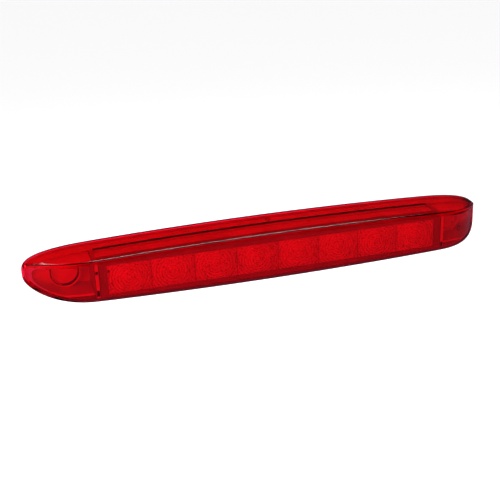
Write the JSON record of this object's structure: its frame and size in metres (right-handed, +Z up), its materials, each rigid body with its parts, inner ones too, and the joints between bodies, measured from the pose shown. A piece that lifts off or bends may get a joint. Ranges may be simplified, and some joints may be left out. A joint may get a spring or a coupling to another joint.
{
  "type": "third brake light",
  "caption": "Long slim red high-mounted stop lamp with rounded tapering ends, a ringed inner optic over a row of LEDs, and a rear housing with threaded inserts.",
  "frame": {"origin": "middle of the mounting plane, half way between the two threaded inserts", "axes": "+X along the lamp, -Y out of the lens away from the vehicle, +Y out of the back, +Z up"},
  "size_m": [0.35, 0.04, 0.039],
  "materials": {
    "red_lens": "clear red acrylic, polished",
    "seal_rubber": "matt",
    "white_plastic": "satin",
    "brass": "machined",
    "grey_plastic": "satin",
    "clear_optic": "clear, ringed",
    "white_gloss": "gloss",
    "board_black": "solder mask",
    "screw_steel": "zinc plated",
    "led_resin": "clear resin",
    "part_black": "moulded",
    "solder_tin": "tinned",
    "can_aluminium": "drawn",
    "vent_white": "membrane",
    "bond_clear": "pale cured adhesive"
  },
  "bodies": {
    "root": {"outer_lens": "red_lens", "lens_seal": "bond_clear", "rear_housing": "white_plastic", "mounting_gasket": "seal_rubber", "threaded_inserts": "brass", "left_divider": "white_plastic", "right_divider": "white_plastic", "optic_frame": "grey_plastic", "fresnel_optic": "clear_optic", "reflector_box": "white_gloss", "circuit_board": "board_black", "board_screws": "screw_steel", "led_packages": "white_gloss", "led_windows": "led_resin", "led_resistors": "part_black", "current_regulator": "part_black", "regulator_tab": "solder_tin", "polarity_diode": "part_black", "surge_diode": "part_black", "filter_capacitor": "can_aluminium", "capacitor_sleeve": "part_black", "inlet_shroud": "part_black", "inlet_pins": "solder_tin", "inlet_seal": "seal_rubber", "vent_membrane": "vent_white"}
  },
  "joints": []
}
